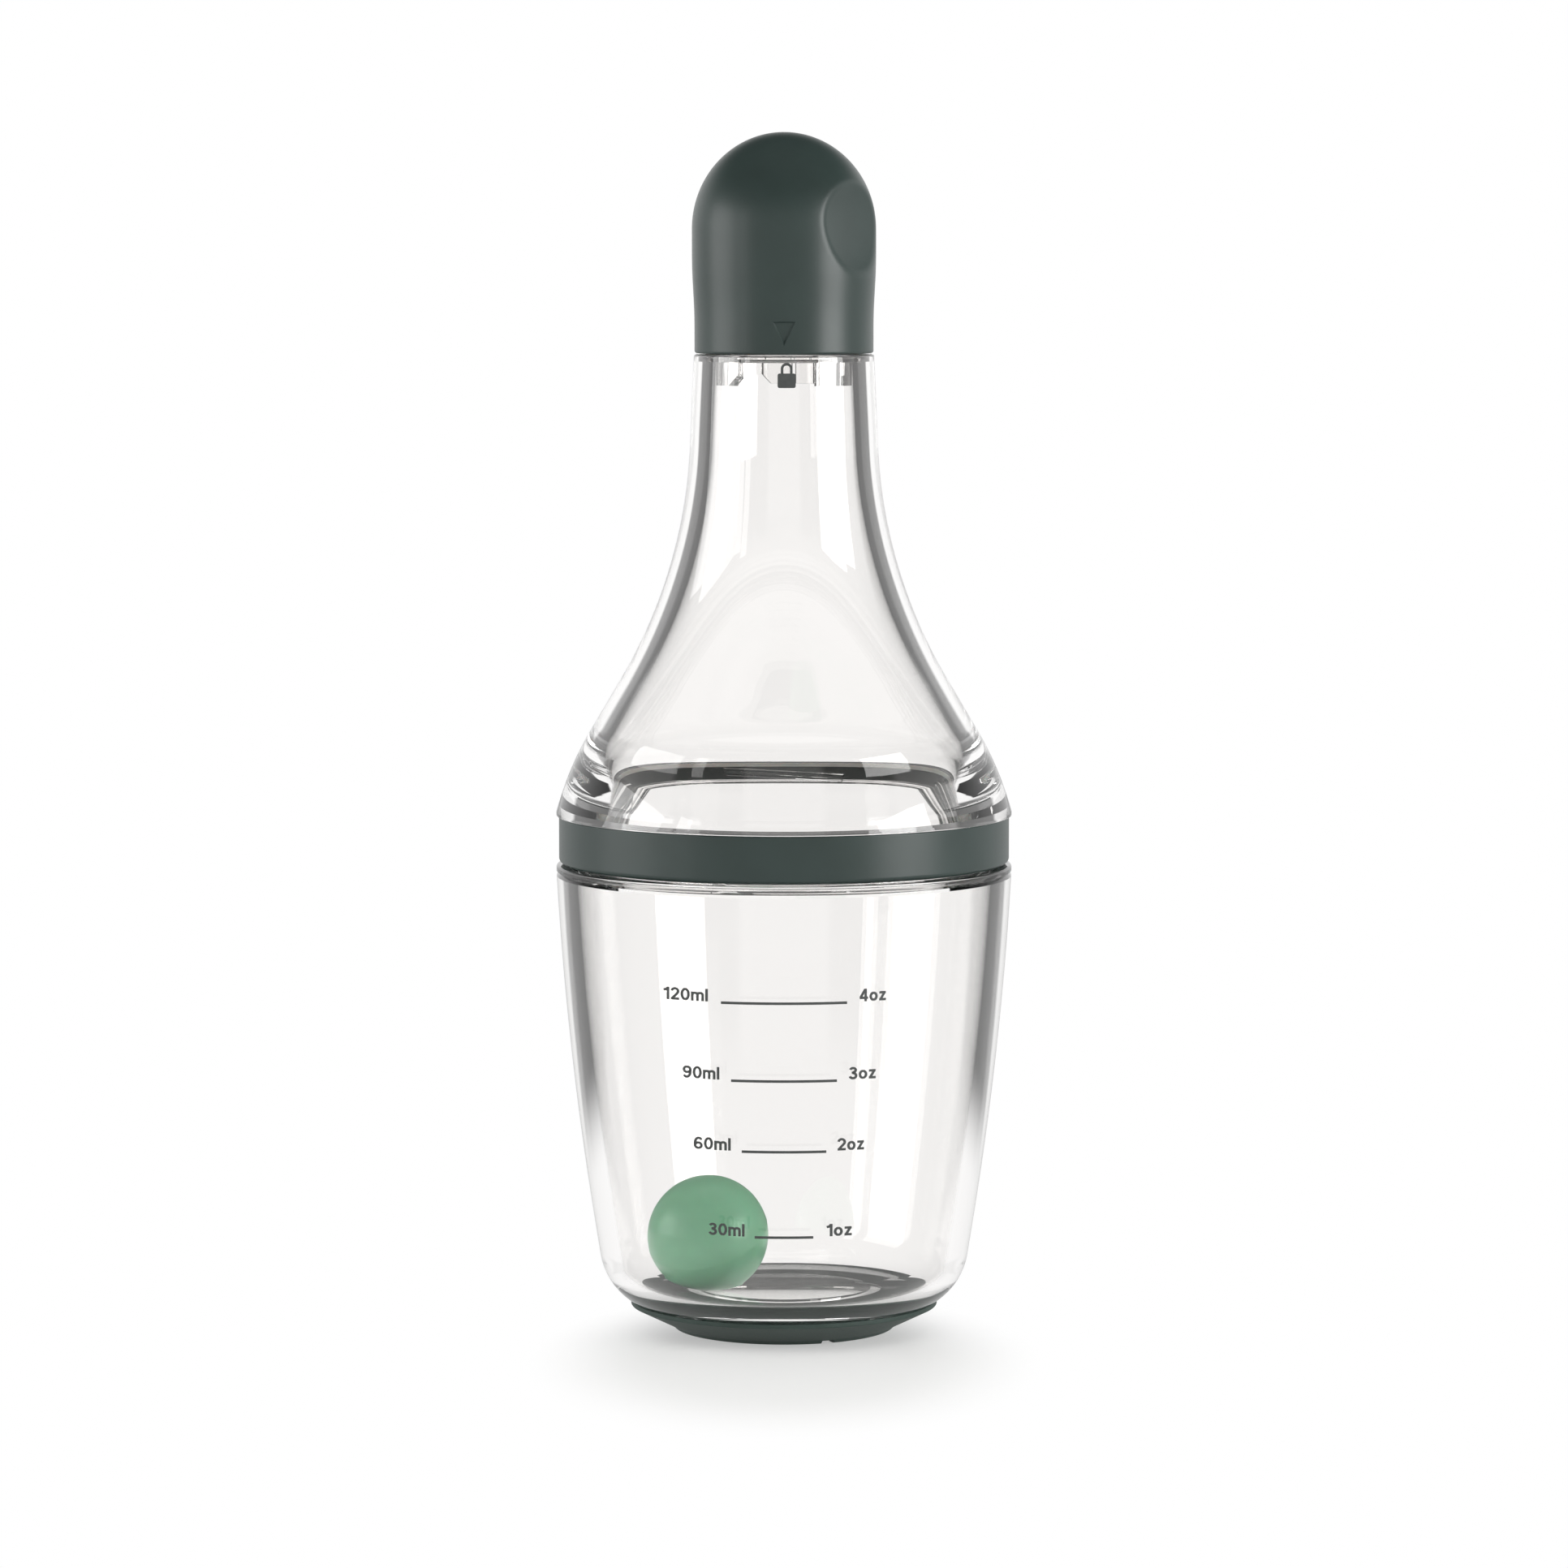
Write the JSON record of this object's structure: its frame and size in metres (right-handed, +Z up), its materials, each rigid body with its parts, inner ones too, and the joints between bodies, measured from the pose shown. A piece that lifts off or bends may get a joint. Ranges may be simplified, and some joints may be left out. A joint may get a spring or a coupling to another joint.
{
  "type": "salad dressing shaker bottle",
  "caption": "Clear two-part shaker bottle for salad dressing, with a funnel top that screws into a tapered cup, a domed twist cap, a foot ring and a loose mixing ball.",
  "frame": {"origin": "centre of the face that the bottle stands on", "axes": "+Z up along the bottle's axis, -Y out of the front with the volume scale, +X to the right of the front"},
  "size_m": [0.0704, 0.0704, 0.185],
  "materials": {
    "clear_plastic": "clear polished copolyester",
    "green_plastic": "satin moulded polypropylene",
    "green_silicone": "matte silicone rubber",
    "seal_silicone": "translucent silicone rubber",
    "liner_plastic": "moulded polypropylene",
    "ball_silicone": "matte silicone rubber"
  },
  "bodies": {
    "cup_body": {"cup": "clear_plastic", "foot_ring": "green_silicone"},
    "rim_seal": {"rim_gasket": "seal_silicone"},
    "bottle_top": {"upper_body": "clear_plastic", "joint_band": "green_plastic", "pour_insert": "clear_plastic"},
    "cap_gasket": {"cap_seal": "seal_silicone"},
    "cap": {"cap_shell": "green_plastic", "cap_liner": "liner_plastic"},
    "ball": {"mixing_ball": "ball_silicone"}
  },
  "joints": [
    {"name": "body_lift", "type": "slide", "parent": "cup_body", "child": "rim_seal", "axis": [0, 0, 1], "range_m": [0, 0.012]},
    {"name": "body_turn", "type": "hinge", "parent": "rim_seal", "child": "bottle_top", "pos_m": [0, 0, 0.08], "axis": [0, 0, 1], "range_deg": [0, 180]},
    {"name": "cap_lift", "type": "slide", "parent": "bottle_top", "child": "cap_gasket", "axis": [0, 0, 1], "range_m": [0, 0.01]},
    {"name": "cap_turn", "type": "hinge", "parent": "cap_gasket", "child": "cap", "pos_m": [0, 0, 0.1514], "axis": [0, 0, 1], "range_deg": [0, 180]},
    {"name": "ball_travel", "type": "slide", "parent": "cup_body", "child": "ball", "axis": [0, 0, 1], "range_m": [0, 0.08]}
  ],
  "couplings": [
    {"joint": "body_lift", "follows": "body_turn", "m_per_rad": 0.0038197},
    {"joint": "cap_lift", "follows": "cap_turn", "m_per_rad": 0.003183}
  ]
}
